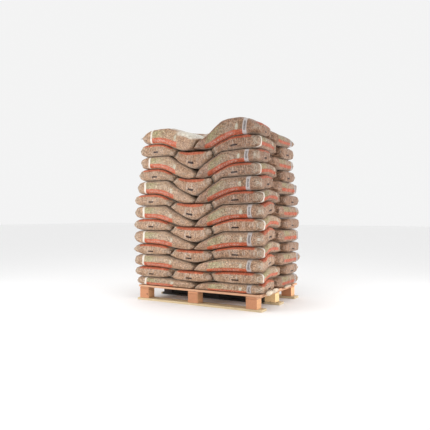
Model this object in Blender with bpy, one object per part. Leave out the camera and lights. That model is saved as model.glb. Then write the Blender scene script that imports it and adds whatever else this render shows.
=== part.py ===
"""A loaded pallet: thirteen layers of clear-film sacks of wood pellets on a nine-block wooden pallet.

Units are metres, +Z is up. The origin is on the floor under the middle of the pallet. +X runs along the
1.2 m side, and -Y is the long side that shows two sacks end to end in the odd layers.
"""

import bmesh
import bpy

# Pallet
PALLET_LENGTH = 1.200
PALLET_WIDTH = 0.800
BOARD_THICKNESS = 0.018
BLOCK_HEIGHT = 0.078
BLOCK_LENGTH = 0.095
BLOCK_WIDTH = 0.085
BLOCK_COLUMNS = (-0.524, -0.021, 0.514)
BOTTOM_BOARD_WIDTH = 0.100
CROSS_BOARD_WIDTH = 0.095
DECK_LENGTH = 1.170
DECK_BOARD_WIDTH = 0.100
DECK_BOARD_COUNT = 5
SEAT_GAP = 0.0003

# Stack of sacks, one solid for each layer of five
LAYER_RISE = (0.073, 0.092, 0.103, 0.093, 0.116, 0.102, 0.112, 0.100, 0.117, 0.105, 0.107, 0.109, 0.122)
STACK_SHIFT_X = -0.016
HALF_LENGTH = 0.629
HALF_WIDTH = 0.420
BOTTOM_LAYER_SCALE = 0.980
BOTTOM_TAPER = (0.170, 0.330)
TOP_LAYER_SCALE = 0.930
TOP_TAPER = (0.800, 1.220)
CORNER_CUT = 0.022

# The rounded rim of a layer: how far each of its lines is set in, and its share of the half thickness
RIM = {"outer": (0.0, 0.0), "nose": (0.008, 0.52), "shoulder": (0.028, 0.84)}

# Seams between the sacks of a layer, and how far they cut into its faces
SIDE_SEAM_X = 0.200
END_SEAM_X = 0.030
LONG_ROW_SEAM_Y = -0.090
CROSS_ROW_SEAM_Y = 0.050
GROOVE_SHARE = 0.45
NOTCH_DEPTH = 0.050
RIM_KEPT_IN_NOTCH = 0.40

# How the top sacks swell
CROWN_HEIGHT = 0.018
CROWN_EASE_X = (0.400, 0.620)
CROWN_EASE_Y = (0.280, 0.420)
HUMP_HEIGHT = 0.018
HUMP_X = 0.380
HUMP_EASE_X = (0.040, 0.190)
HUMP_EASE_Y = (-0.100, 0.150)

# How far the middle of the front hangs down where the long sacks' thin ends meet
V_SAG = (0.012, 0.051, 0.097, 0.128, 0.145, 0.132)
TROUGH_SAG = (0.015, 0.039, 0.067, 0.085, 0.101, 0.090)
TOP_SAG = 0.072
V_WIDTH_LEFT = 0.300
V_WIDTH_RIGHT = 0.260
V_CURVE_LEFT = 1.30
TROUGH_EASE = (0.060, 0.420)
FRONT_FADE = (-0.120, 0.120)
BACK_FADE = (0.020, 0.220)
BACK_SAG_SHARE = 0.55

# How the stack rises towards its right-hand side: at the front edge, near the corner and at the back
FRONT_EDGE_RISE = 0.015
CORNER_RISE = 0.045
CORNER_RISE_EASE_Y = (-0.360, -0.240)
CORNER_RISE_LAYER = 4
CORNER_RISE_FADE_LAYERS = 10
BACK_RISE = 0.022
BACK_RISE_LOSS = 0.0055
BACK_RISE_EASE_Y = (-0.200, 0.100)
RISE_STARTS_X = 0.100
RISE_FULL_X = 0.560

# Lines of the net that a layer's upper and lower faces are drawn on
NET_X = (-0.561, -0.410, -0.260, -0.200, -0.090, END_SEAM_X, 0.110, 0.200, 0.290, 0.410, 0.561)
NET_Y = (-0.356, -0.250, -0.135, -0.090, -0.020, 0.050, 0.105, 0.230, 0.356)

FILM = ((0.46, 0.33, 0.24), 0.30)
DECK_WOOD = ((0.72, 0.52, 0.34), 0.75)
BLOCK_WOOD = ((0.62, 0.33, 0.17), 0.80)
BOTTOM_WOOD = ((0.60, 0.47, 0.29), 0.80)


def clear_scene():
    for thing in list(bpy.data.objects):
        bpy.data.objects.remove(thing, do_unlink=True)


def make_material(name, look):
    colour, roughness = look
    material = bpy.data.materials.new(name)
    material.use_nodes = True
    shader = material.node_tree.nodes["Principled BSDF"]
    shader.inputs["Base Color"].default_value = (*colour, 1.0)
    shader.inputs["Roughness"].default_value = roughness
    shader.inputs["Metallic"].default_value = 0.0
    return material


def object_from(mesh_builder, name, material):
    mesh = bpy.data.meshes.new(name)
    mesh_builder.to_mesh(mesh)
    mesh_builder.free()
    mesh.materials.append(material)
    thing = bpy.data.objects.new(name, mesh)
    bpy.context.scene.collection.objects.link(thing)
    return thing


def plank(name, centre, size, material):
    """A squared piece of timber, given by its middle and its size."""
    shape = bmesh.new()
    bmesh.ops.create_cube(shape, size=1.0)
    bmesh.ops.scale(shape, vec=size, verts=shape.verts)
    thing = object_from(shape, name, material)
    thing.location = centre
    return thing


def row_positions():
    """Middles of the front, middle and back block rows, and of the left, middle and right columns."""
    row = PALLET_WIDTH / 2 - BLOCK_WIDTH / 2
    rows = (("front", -row), ("middle", 0.0), ("back", row))
    columns = tuple(zip(("left", "middle", "right"), BLOCK_COLUMNS))
    return rows, columns


def build_pallet():
    deck_wood = make_material("deck_wood", DECK_WOOD)
    block_wood = make_material("block_wood", BLOCK_WOOD)
    bottom_wood = make_material("bottom_wood", BOTTOM_WOOD)
    rows, columns = row_positions()
    gap = SEAT_GAP
    thick = BOARD_THICKNESS
    board_row = PALLET_WIDTH / 2 - BOTTOM_BOARD_WIDTH / 2
    for (row, _), y in zip(rows, (-board_row, 0.0, board_row)):
        size = (PALLET_LENGTH, BOTTOM_BOARD_WIDTH, thick)
        plank(f"bottom_board_{row}", (0.0, y, thick / 2), size, bottom_wood)
    for row, y in rows:
        for column, x in columns:
            height = BLOCK_HEIGHT - 2 * gap
            size = (BLOCK_LENGTH, BLOCK_WIDTH, height)
            plank(f"block_{row}_{column}", (x, y, thick + BLOCK_HEIGHT / 2), size, block_wood)
    cross_bottom = thick + BLOCK_HEIGHT
    for column, x in columns:
        size = (CROSS_BOARD_WIDTH, PALLET_WIDTH, thick)
        plank(f"cross_board_{column}", (x, 0.0, cross_bottom + thick / 2), size, deck_wood)
    deck_bottom = cross_bottom + thick + gap
    pitch = (PALLET_WIDTH - DECK_BOARD_WIDTH) / (DECK_BOARD_COUNT - 1)
    for number in range(DECK_BOARD_COUNT):
        y = -PALLET_WIDTH / 2 + DECK_BOARD_WIDTH / 2 + number * pitch
        size = (DECK_LENGTH, DECK_BOARD_WIDTH, thick - gap)
        centre = (0.0, y, deck_bottom + (thick - gap) / 2)
        plank(f"deck_board_{number + 1}", centre, size, deck_wood)


def ramp(value, start, end):
    """0 before start, 1 after end, eased between them."""
    t = min(max((value - start) / (end - start), 0.0), 1.0)
    return t * t * (3.0 - 2.0 * t)


def deck_top():
    return 3 * BOARD_THICKNESS + BLOCK_HEIGHT


def level(k):
    """Height of the joint over layer k where the stack is undisturbed; k = 0 is the deck."""
    return deck_top() + sum(LAYER_RISE[:k])


def plan_scale(height):
    """The stack draws in a little at its top and at its lowest layer."""
    top = 1.0 - (1.0 - TOP_LAYER_SCALE) * ramp(height, *TOP_TAPER)
    bottom = 1.0 - (1.0 - BOTTOM_LAYER_SCALE) * (1.0 - ramp(height, *BOTTOM_TAPER))
    return min(top, bottom)


def notch_shape(x):
    """1 at the seam between two sacks end to end, falling to 0 on both sides: on the left in a slight curve."""
    if x < END_SEAM_X:
        return max(0.0, 1.0 - ((END_SEAM_X - x) / V_WIDTH_LEFT) ** V_CURVE_LEFT)
    return max(0.0, 1.0 - (x - END_SEAM_X) / V_WIDTH_RIGHT)


def trough_shape(x):
    """1 across the middle, easing out on both sides."""
    return 1.0 - ramp(abs(x), *TROUGH_EASE)


def sag(k, x, y):
    """Drop of joint k where long sacks meet end to end below it, at the front or at the back."""
    if k == 0:
        return 0.0
    front = 1.0 - ramp(y, *FRONT_FADE)
    back = BACK_SAG_SHARE * ramp(y, *BACK_FADE)
    if k == len(LAYER_RISE):
        return TOP_SAG * notch_shape(x) * front
    deep = V_SAG[(k - 1) // 2] * notch_shape(x)
    shallow = TROUGH_SAG[(k - 1) // 2] * trough_shape(x)
    if k % 2 == 1:
        return deep * front + shallow * back
    return shallow * front + deep * back


def side_rise(k, x, y):
    """Rise of joint k towards the right-hand side, most near the front corner of the lower layers."""
    if k == 0:
        return 0.0
    edge = FRONT_EDGE_RISE * k / len(LAYER_RISE)
    near = CORNER_RISE * (1.0 - abs(k - CORNER_RISE_LAYER) / CORNER_RISE_FADE_LAYERS)
    far = BACK_RISE - BACK_RISE_LOSS * max(0, k - CORNER_RISE_LAYER + 1)
    along = edge + (near - edge) * ramp(y, *CORNER_RISE_EASE_Y)
    along += (far - near) * ramp(y, *BACK_RISE_EASE_Y)
    return along * ramp(x, RISE_STARTS_X, RISE_FULL_X)


def joint_height(k, x, y):
    return level(k) - sag(k, x, y) + side_rise(k, x, y)


def seams_of(layer):
    """The seams of a layer: (x of a seam across the front row), (across the back row), (y between)."""
    if layer % 2 == 1:
        return (END_SEAM_X,), (-SIDE_SEAM_X, SIDE_SEAM_X), LONG_ROW_SEAM_Y
    return (-SIDE_SEAM_X, SIDE_SEAM_X), (END_SEAM_X,), CROSS_ROW_SEAM_Y


def on_seam(layer, x, y):
    """True on a net point that lies on a seam between two sacks of the layer."""
    front, back, between = seams_of(layer)
    if y == between:
        return True
    return x in (front if y < between else back)


def net_lines(half, inner):
    """The kind and the place of each net line from one side of a layer to the other."""
    near = [(kind, -half) for kind in RIM]
    far = [(kind, half) for kind in reversed(RIM)]
    return [*near, *(("net", v) for v in inner), *far]


def in_rim(line):
    return line[0] != "net"


def seam_ends_here(layer, line_x, line_y):
    """True on a rim point where a seam between two sacks runs out through the side."""
    front, back, between = seams_of(layer)
    if in_rim(line_x) == in_rim(line_y):
        return False
    if in_rim(line_x):
        return line_y[1] == between
    return line_x[1] in (front if line_y[1] < 0 else back)


def plan_place(line, notch, rim_kept):
    """Distance of a net line from the middle, drawn in by a notch where it is in the rim."""
    kind, at = line
    if kind == "net":
        return at
    inset = notch + rim_kept * RIM[kind][0]
    return at - inset if at > 0 else at + inset


def plan_point(layer, side, line_x, line_y):
    """Where a net point lies in plan before the shift of the stack."""
    notch = 0.0
    rim_kept = 1.0
    if seam_ends_here(layer, line_x, line_y):
        notch = NOTCH_DEPTH
        rim_kept = RIM_KEPT_IN_NOTCH
    elif in_rim(line_x) and in_rim(line_y):
        notch = CORNER_CUT
    scale = plan_scale((level(layer) + level(layer - 1)) / 2)
    joint = layer if side > 0 else layer - 1
    if joint and not in_rim(line_x) and not in_rim(line_y):
        scale = plan_scale(level(joint))
    return plan_place(line_x, notch, rim_kept) * scale, plan_place(line_y, notch, rim_kept) * scale


def fullness_at(layer, line_x, line_y):
    """Share of the layer's half thickness that a net point stands off its middle."""
    fullness = min(RIM[line[0]][1] if in_rim(line) else 1.0 for line in (line_x, line_y))
    if on_seam(layer, line_x[1], line_y[1]) or seam_ends_here(layer, line_x, line_y):
        fullness *= 1.0 - GROOVE_SHARE
    return fullness


def net_point(layer, side, line_x, line_y):
    """One point of a layer's upper (side 1) or lower (side -1) face."""
    x = min(max(line_x[1], NET_X[0]), NET_X[-1])
    y = min(max(line_y[1], NET_Y[0]), NET_Y[-1])
    above = joint_height(layer, x, y)
    below = joint_height(layer - 1, x, y)
    fullness = fullness_at(layer, line_x, line_y)
    half = (above - below - SEAT_GAP) / 2
    z = (above + below) / 2 + side * half * fullness
    if side > 0 and layer == len(LAYER_RISE):
        z += fullness * crown(line_x[1], line_y[1])
    plan_x, plan_y = plan_point(layer, side, line_x, line_y)
    return STACK_SHIFT_X + plan_x, plan_y, z


def crown(x, y):
    """How far the top sacks swell up away from the stack's rim, with the hump of the front right one."""
    swell = (1.0 - ramp(abs(x), *CROWN_EASE_X)) * (1.0 - ramp(abs(y), *CROWN_EASE_Y))
    hump = (1.0 - ramp(abs(x - HUMP_X), *HUMP_EASE_X)) * (1.0 - ramp(y, *HUMP_EASE_Y))
    return swell * CROWN_HEIGHT + hump * HUMP_HEIGHT


def build_layer(layer, material):
    """One closed solid for the five sacks of a layer, with the seams between them cut into its faces."""
    lines_x = net_lines(HALF_LENGTH, NET_X)
    lines_y = net_lines(HALF_WIDTH, NET_Y)
    shape = bmesh.new()
    upper = {}
    lower = {}
    for i, line_x in enumerate(lines_x):
        for j, line_y in enumerate(lines_y):
            upper[i, j] = shape.verts.new(net_point(layer, 1, line_x, line_y))
            if "outer" in (line_x[0], line_y[0]):
                lower[i, j] = upper[i, j]
            else:
                lower[i, j] = shape.verts.new(net_point(layer, -1, line_x, line_y))
    last_x = len(lines_x) - 2
    last_y = len(lines_y) - 2
    for i in range(last_x + 1):
        for j in range(last_y + 1):
            crossed = (i, j) in ((last_x, 0), (0, last_y))
            add_cell(shape, upper, i, j, crossed, False)
            add_cell(shape, lower, i, j, crossed, True)
    shape.normal_update()
    thing = object_from(shape, f"sack_layer_{layer:02d}", material)
    thing.data.shade_smooth()
    thing.data.set_sharp_from_angle(angle=1.2)
    return thing


def add_cell(shape, net, i, j, crossed, turned):
    """Two triangles over one cell of the net, split along the same diagonal on both faces of a joint.

    Two of the corner cells are split the other way, so that no triangle lies in the rim alone.
    """
    a, b, c, d = net[i, j], net[i + 1, j], net[i + 1, j + 1], net[i, j + 1]
    halves = ((a, b, d), (b, c, d)) if crossed else ((a, b, c), (a, c, d))
    for corners in halves:
        shape.faces.new(tuple(reversed(corners)) if turned else corners)


def build_stack():
    film = make_material("film_over_pellets", FILM)
    for layer in range(1, len(LAYER_RISE) + 1):
        build_layer(layer, film)


def main():
    clear_scene()
    build_pallet()
    build_stack()


main()
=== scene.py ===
"""Looks for the loaded pallet: 65 clear-film sacks of wood pellets in thirteen layers on a wooden pallet.

Units are metres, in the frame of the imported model. Layers are counted from the bottom. Odd layers have two
long sacks at the front and three cross sacks behind them, and even layers have three at the front and two
behind. Each sack is a flat film bag blown up by cloth simulation between two plates, then fitted into its
place between the sagging joints of the stack.
"""

import collections
import functools
import math
import random

import bmesh
import bpy
import numpy as np
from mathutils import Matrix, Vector, noise


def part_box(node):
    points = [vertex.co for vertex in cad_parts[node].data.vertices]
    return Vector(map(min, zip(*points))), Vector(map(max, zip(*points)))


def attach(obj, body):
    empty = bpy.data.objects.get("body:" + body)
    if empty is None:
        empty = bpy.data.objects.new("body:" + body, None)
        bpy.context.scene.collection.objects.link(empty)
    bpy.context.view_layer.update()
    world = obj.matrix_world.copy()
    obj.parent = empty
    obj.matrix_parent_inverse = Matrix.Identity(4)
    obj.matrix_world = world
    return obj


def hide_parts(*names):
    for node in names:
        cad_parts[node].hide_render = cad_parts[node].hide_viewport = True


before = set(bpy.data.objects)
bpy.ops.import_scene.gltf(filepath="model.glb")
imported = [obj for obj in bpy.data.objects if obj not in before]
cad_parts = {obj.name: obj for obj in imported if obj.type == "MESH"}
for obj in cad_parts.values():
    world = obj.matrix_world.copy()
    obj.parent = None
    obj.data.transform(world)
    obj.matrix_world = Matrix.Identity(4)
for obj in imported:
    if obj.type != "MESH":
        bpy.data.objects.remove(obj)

bl_info = {
    "name": "Pallet of Pellet Sacks",
    "version": (1, 0, 0),
    "blender": (4, 5, 0),
    "location": "View3D > Sidebar > Pallet",
    "description": "Builds the film sacks, the timber finish and the studio around the packed pallet",
    "category": "Object",
}

ROOT = "root"

# The stack, as in the part's source
DECK_TOP = 0.132
LAYER_RISE = (0.073, 0.092, 0.103, 0.093, 0.116, 0.102, 0.112, 0.100, 0.117, 0.105, 0.107, 0.109, 0.122)
LAYER_COUNT = len(LAYER_RISE)
STACK_SHIFT_X = -0.016
HALF_LENGTH = 0.629
HALF_WIDTH = 0.420
BOTTOM_LAYER_SCALE = 0.980
BOTTOM_TAPER = (0.170, 0.330)
TOP_LAYER_SCALE = 0.930
TOP_TAPER = (0.800, 1.220)
NET_HALF_LENGTH = 0.561
NET_HALF_WIDTH = 0.356
SIDE_SEAM_X = 0.200
END_SEAM_X = 0.030
LONG_ROW_SEAM_Y = -0.090
CROSS_ROW_SEAM_Y = 0.050
CROWN_HEIGHT = 0.018
CROWN_EASE_X = (0.400, 0.620)
CROWN_EASE_Y = (0.280, 0.420)
HUMP_HEIGHT = 0.018
HUMP_X = 0.380
HUMP_EASE_X = (0.040, 0.190)
HUMP_EASE_Y = (-0.100, 0.150)
V_SAG = (0.012, 0.051, 0.097, 0.128, 0.145, 0.132)
TROUGH_SAG = (0.015, 0.039, 0.067, 0.085, 0.101, 0.090)
TOP_SAG = 0.072
V_WIDTH_LEFT = 0.300
V_WIDTH_RIGHT = 0.260
V_CURVE_LEFT = 1.30
TROUGH_EASE = (0.060, 0.420)
FRONT_FADE = (-0.120, 0.120)
BACK_FADE = (0.020, 0.220)
BACK_SAG_SHARE = 0.55
FRONT_EDGE_RISE = 0.015
CORNER_RISE = 0.045
CORNER_RISE_EASE_Y = (-0.360, -0.240)
CORNER_RISE_LAYER = 4
CORNER_RISE_FADE_LAYERS = 10
BACK_RISE = 0.022
BACK_RISE_LOSS = 0.0055
BACK_RISE_EASE_Y = (-0.200, 0.100)
RISE_STARTS_X = 0.100
RISE_FULL_X = 0.560

FILM_CLEARANCE = 0.0009
NOISE_FAR = 50
SEEDS = {"timber": 11, "planks": 23, "lower sacks": 7, "top sacks": 8}

# How a bag's corners lie, by the kind of place. A pull of 0 leaves the ear standing out and 1 tucks it in,
# and a lower power rounds the corner more. The sack thins down from taper_from to taper_to metres off it.
Corner = collections.namedtuple(
    "Corner", "least_pull greatest_pull power taper_to taper_from thinnest paleness"
)
CORNERS = {
    "stack": Corner(0.60, 0.95, 5.0, 0.008, 0.085, 0.28, 0.90),
    "stack_top": Corner(0.20, 0.50, 5.0, 0.015, 0.140, 0.05, 0.80),
    "end_face": Corner(1.00, 1.30, 2.7, 0.045, 0.150, 0.25, 0.10),
    "long_face": Corner(0.85, 1.10, 4.2, 0.020, 0.075, 0.72, 0.75),
    "tip": Corner(0.80, 1.00, 5.0, 0.0, 0.001, 1.0, 0.45),
    "hidden": Corner(1.00, 1.40, 5.0, 0.0, 0.001, 1.0, 0.0),
}
# Ears: where their paleness fades, and how far they stand out
EAR_SIZE = (0.015, 0.115)
EAR_REACH = 0.035

# Sides of a sack: how flat they are, how they press on each other and how far they give way
SQUEEZED_FROM = 0.90
SIDE_FLATNESS = 0.90
PRESSED_FROM = (0.70, 0.98)
SIDE_GAIN = 1.035
SEAM_GAIN = 1.080
OUTER_GIVE = (-0.004, 0.006)
LEFT_GIVE = (0.010, 0.020)
TOP_LEFT_GIVE = (0.040, 0.042)
WELD_CREASE_LENGTH = 0.045

# Tones of the sacks, from 0 (dark) to 1 (light). They differ at random, and the darker ranges of the
# right-hand sacks, most of all high up, are painted shade
TONES = {"front_left": (0.75, 1.0), "front_middle": (0.30, 0.55)}
PAINTED_SHADE_TONES = {"low": (0.15, 0.35), "high": (0.0, 0.08), "back_low": (0.10, 0.28), "back_high": (0.0, 0.10)}
PAINTED_SHADE_FROM_LAYER = 8
OTHER_TONES = (0.45, 0.90)
SUNNY_LAYERS = 3

# Lumps of the pellets under the film
LUMP_HEIGHT = 0.0028
LUMP_WAVE = (0.060, 0.170)
LUMP_COUNT = 5
LUMP_RISE = 1.2
LUMP_HALF_DEPTH = 0.05
LUMPY_RIM = 0.05

# Seams: how they lean, and how those of the front are shifted
SEAM_LEAN = {-SIDE_SEAM_X: 0.034, SIDE_SEAM_X: -0.018, END_SEAM_X: 0.018}
TOP_SEAM_LEAN = {END_SEAM_X: 0.028}
FRONT_SEAM_SHIFT = {-SIDE_SEAM_X: -0.026, SIDE_SEAM_X: -0.036, END_SEAM_X: -0.022}
TOP_SEAM_SHIFT = {END_SEAM_X: -0.037}
V_SHIFT = (-0.004, -0.024)

# What a sack leaves free at the V and at its ends, as a share of its thickness or in metres
NOSE_REACH = 0.055
NOSE_DROP = 0.30
TIP_REACH = 0.160
TIP_DROP = 0.08
TIP_LIFT = 0.04
V_ROUNDING = 0.006
V_ROUNDING_REACH = 0.050
TOP_LEFT_NOSE_DROP = 0.24
TOP_LEFT_NOSE_REACH = 0.110
TOP_RIGHT_TIP_DROP = 0.46
TOP_RIGHT_TIP_REACH = 0.270
TOP_GAP = 0.014
TOP_GAP_EASE = (0.060, 0.180)
TOP_END_REACH = 0.110
TOP_END_DROP = 0.22

# The flat bags (length, width, cells along and across, seed) and how they are blown up
BAGS = {"long": (0.68, 0.42, 60, 38, 1), "cross": (0.56, 0.46, 52, 42, 2)}
BAG_RIPPLE = 0.0016
RIPPLES_PER_METRE = 30.0
BAG_LOFT = (0.001, 0.006)
PLATE_HALF = 0.6
MIDDLE_SHARE = 0.25
FILM_CLOTH = {
    "quality": 6, "mass": 0.1, "air_damping": 2.0, "use_pressure": True,
    "tension_damping": 5, "compression_damping": 5, "shear_damping": 5,
}
SHEAR_SHARE = 0.4
BLOW_UPS = (
    # thickness between the plates, frames, pressure, stiffness, bending
    (0.105, 26, 6, 15, 0.30),
    (0.105, 24, 8, 25, 0.08),
)

# Print on the film, in metres of film from the outward weld and from the middle of the side
RING_START = {"left": 0.125, "right": 0.125, "front": 0.080, "back": 0.092}
TOP_LAYER_RING_SHIFT = 0.016
RING_WIDTH = 0.020
LABEL_WIDTH = 0.037
LEFT_RING_SPREAD = 0.024
FIELD_LENGTH = {"long": (0.315, 0.375), "cross": (0.300, 0.310)}
BAND_MIDDLE = {"long": (-0.031, -0.040), "cross": (-0.014, -0.014)}
BAND_HALF_HEIGHT = {"long": 0.021, "cross": 0.0115}
SHOULDER_BLOCK = (0.028, 0.085)
END_MARK = (0.0092, 0.0220)
TOP_PANEL = (0.175, 0.560)
PRINT_WANDER = 0.006
FIELD_START = (0.018, 0.022)
FIELD_SOFTNESS = 0.003
SOFT_PRINT_RISE = (0.004, 0.050)
PALE_PRINT = (0.10, 0.29)
SPOT_RISE = 0.016
FLECKS = (0.05, 0.27)
FLECKS_FROM_EDGE = (0.009, 0.012)
SHEEN_START = (-0.050, 0.020)
SHEEN_END = (0.58, 0.63)
RING_SOFTNESS = 0.001
BAR_PLACE = (0.009, 0.028)
BAR_HALF_HEIGHT = 0.027
BARS_PER_METRE = 150.0
BAR_GAP_SHARE = 0.38

# Reach across the film, from 0 in the middle of the upper or lower side to 1 at the bag's edge
SIDE_FACE = (0.66, 0.72)
SHOULDER_REACH = (0.58, 0.64)
MARK_REACH = (0.116, 0.122)
PANEL_REACH = (0.48, 0.68)
TOP_LEFT_SHEEN = 0.930
SHEEN_FADE = 0.09
SHEEN_WANDER = 6.0

# Noises on the film: scale, detail and roughness
FOLD_SCALES = (14.0, 20.0)
FOLD_NOISE = (1.0, 3.0, 0.55)
CREASE_NOISE = (21.0, 4.0, 0.62)
CRUMPLE_NOISE = (58.0, 3.0, 0.6)
CLOUD_NOISE = (80.0, 3.0, 0.65)
PANEL_NOISE = (22.0, 4.0, 0.6)
SHEEN_NOISE = (40.0, 4.0, 0.6)
INK_NOISE = (130.0,)
RING_NOISE = (60.0,)
PAINTED_GLINT_NOISE = (9.0,)

# Shares of the layers of colour: where a value starts and ends to count, and the shares before and after
PAINTED_GLINT_PATCHES = (0.48, 0.60)
FOLD_PATCHES = (0.54, 0.68)
GREEN_ALONG = (0.06, 0.20, 0.70, 0.12)
GREEN_CLOUDS = (0.36, 0.60, 0.30, 1.0)
PALE_CLOUDS = (0.44, 0.60, 0.0, 0.22)
SPOT_FADE = (0.006, 0.017, 0.70, 0.0)
SPOT_CLOUDS = (0.36, 0.52, 0.4, 1.0)
BAND_PATCHES = (0.30, 0.50, 0.72, 0.98)
FLECK_PATCHES = (0.48, 0.56)
BLOCK_PATCHES = (0.35, 0.55, 0.60, 0.95)
PANEL_PATCHES = (0.35, 0.65, 0.24, 0.62)
SHEEN_PATCHES = (0.30, 0.65, 0.45, 0.88)
RING_PATCHES = (0.3, 0.5, 0.72, 0.94)
PAINTED_GLINT_SHARE = 0.22
WELD_FOLD_SHARE = 0.52
PRESSED_HAZE = 0.38
FLECK_SHARE = 0.45
BAR_SHARE = 0.88
BAND_INK = 0.60
SOFT_INK = 0.75

# Pellets: place on the scale of shades, factor and coolness, and what a sack's tone multiplies them by
HEAPS_PER_METRE = 52.0
PELLET_SHADES = ((0.0, 0.45, 0.94), (0.30, 0.80, 0.99), (0.65, 1.17, 1.0), (1.0, 1.70, 1.09))
# Painted shade in the crevices between the pellets: factor and coolness
PAINTED_CREVICE_SHADE = (0.22, 0.90)
TONE_CASTS = (
    (0.0, (0.60, 0.54, 0.53)),
    (0.22, (0.76, 0.71, 0.69)),
    (0.5, (0.97, 0.96, 0.94)),
    (1.0, (0.93, 0.96, 0.97)),
)

# Timber
GRAIN_ALONG_X = ("bottom_board", "deck_board")
ARRIS = 0.0022
SAW_ROUGHNESS = 0.0012
CHIP_DEPTH = 0.0045
CHIP_START = 0.25
CHIPS_PER_METRE = 26.0
ARRIS_NORMAL = 0.93
ROUGH_STRETCH = 14.0
ROUGH_STRETCH_ALONG = 5.0
STATION_SPACING = 0.024
STATION_SHARE_ACROSS = 0.75
PITH_ALONG = 9
PITH_ACROSS = 0.05
PITH_DEPTH = (0.02, 0.06)
RINGS_PER_METRE = 230.0
SAW_MARKS_PER_METRE = 1700.0
LATE_WOOD_CAST = (0.66, 0.55, 0.46)
FIBRE_CASTS = ((0.25, (0.82, 0.80, 0.78)), (0.75, (1.10, 1.10, 1.10)))
PIECE_CASTS = ((0.0, (0.86, 0.84, 0.82)), (1.0, (1.08, 1.08, 1.08)))
KNOT_COLOUR = (0.16, 0.07, 0.03)
GRIME_COLOUR = (0.22, 0.16, 0.11)
# Painted shade: the middle bottom board and the middle left and middle blocks are painted near black where
# shade falls under the deck
SHADE_PAINT_COLOUR = (0.012, 0.011, 0.013)
SHADE_PAINTED_PIECES = ("bottom_board_middle", "block_middle_left", "block_middle_middle")
SHADE_PAINT_STARTS = (-0.592, -0.580)
SHADE_PAINT_ENDS = (0.450, 0.475)
YELLOW_BLOCK = "block_middle_right"
# Planks of painted shadow, near black, over the middle bottom board between its blocks
SHADOW_PLANK_THICKNESS = 0.026
SHADOW_PLANK_INSET = 0.012
SHADOW_PLANK_GAP = 0.0008
DECK_BOARD_COUNT = 5
NAIL_PATTERN = ((0.30, 0.28), (0.70, 0.72), (0.32, 0.70))
NAIL_SIDES = 10
NAIL_TOP_SHARE = 0.86
NAIL_TILT = 0.03

# Crumpled film
WAD_FOLD_DEPTH = 0.80
WAD_FOLD_STEPS = (1.3, 2.6, 5.2, 10.4)
WAD_NOISE_STEP = (3.7, 1.9, 5.3)
FILM_WADS = (
    # middle, half size
    ((0.616, -0.285, 0.136), (0.016, 0.075, 0.024)),
    ((0.615, -0.175, 0.140), (0.015, 0.080, 0.020)),
    ((0.610, 0.110, 0.139), (0.010, 0.095, 0.009)),
)
SEAM_EARS = (
    # side, seam, half size, how far its middle lies behind the front of the sacks, seed
    ("left", -SIDE_SEAM_X, (0.020, 0.016, 0.017), 0.000, 31),
    ("right", SIDE_SEAM_X, (0.029, 0.018, 0.024), -0.001, 47),
)

# Camera and lights
CAMERA_PLACE = (2.145, -3.765, 0.744)
CAMERA_TURN = 30.13
CAMERA_LENS = 40.62
STACK_MIDDLE = (0.0, 0.0, 0.75)
LIGHTS = {
    # place and size
    "key": ((-1.7, -2.7, 0.9), 1.6),
    "fill": ((3.0, 0.3, 0.45), 1.8),
    "top": ((0.0, -0.6, 4.2), 2.0),
}


def ramp(value, start, end):
    """0 before start, 1 after end, eased between them."""
    t = np.clip((value - start) / (end - start), 0.0, 1.0)
    return t * t * (3.0 - 2.0 * t)


def fade(value, start, end):
    """1 before start, 0 after end, eased between them."""
    return 1.0 - ramp(value, start, end)


def placed(name, data):
    """Links a new object to the scene."""
    thing = bpy.data.objects.new(name, data)
    bpy.context.scene.collection.objects.link(thing)
    return thing


def far_place(chance):
    """A random place in the noise."""
    return Vector([chance.uniform(-NOISE_FAR, NOISE_FAR) for _ in range(3)])


def square(half, height):
    """The corners of a level square, anticlockwise from above."""
    return [(-half, -half, height), (half, -half, height), (half, half, height), (-half, half, height)]


def level(k):
    """Height of joint k where it neither sags nor rises."""
    return DECK_TOP + sum(LAYER_RISE[:k])


def plan_scale(height):
    """Share of its greatest size that the stack has at a height, in the plan."""
    top = 1.0 - (1.0 - TOP_LAYER_SCALE) * ramp(height, *TOP_TAPER)
    bottom = 1.0 - (1.0 - BOTTOM_LAYER_SCALE) * fade(height, *BOTTOM_TAPER)
    return min(top, bottom)


def sack_scale(layer):
    return plan_scale((level(layer) + level(layer - 1)) / 2)


def v_place(k):
    """Where the V of the sagging joints has its point. It moves to the left with height."""
    return END_SEAM_X + V_SHIFT[0] + (V_SHIFT[1] - V_SHIFT[0]) * k / LAYER_COUNT


def sag(k, x, y):
    """Drop of joint k where long sacks meet end to end."""
    if k == 0:
        return np.zeros_like(x)
    left = 1.0 - (np.maximum(0.0, v_place(k) - x) / V_WIDTH_LEFT) ** V_CURVE_LEFT
    notch = np.clip(np.minimum(left, 1.0 - (x - v_place(k)) / V_WIDTH_RIGHT), 0.0, 1.0)
    trough = fade(np.abs(x), *TROUGH_EASE)
    front = fade(y, *FRONT_FADE)
    back = BACK_SAG_SHARE * ramp(y, *BACK_FADE)
    if k == LAYER_COUNT:
        return TOP_SAG * notch * front
    deep = V_SAG[(k - 1) // 2] * notch
    shallow = TROUGH_SAG[(k - 1) // 2] * trough
    if k % 2 == 1:
        return deep * front + shallow * back
    return shallow * front + deep * back


def side_rise(k, x, y):
    """Rise of joint k towards the right-hand side."""
    if k == 0:
        return np.zeros_like(x)
    edge = FRONT_EDGE_RISE * k / LAYER_COUNT
    near = CORNER_RISE * (1.0 - abs(k - CORNER_RISE_LAYER) / CORNER_RISE_FADE_LAYERS)
    far = BACK_RISE - BACK_RISE_LOSS * max(0, k - CORNER_RISE_LAYER + 1)
    along = edge + (near - edge) * ramp(y, *CORNER_RISE_EASE_Y)
    along = along + (far - near) * ramp(y, *BACK_RISE_EASE_Y)
    return along * ramp(x, RISE_STARTS_X, RISE_FULL_X)


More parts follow.
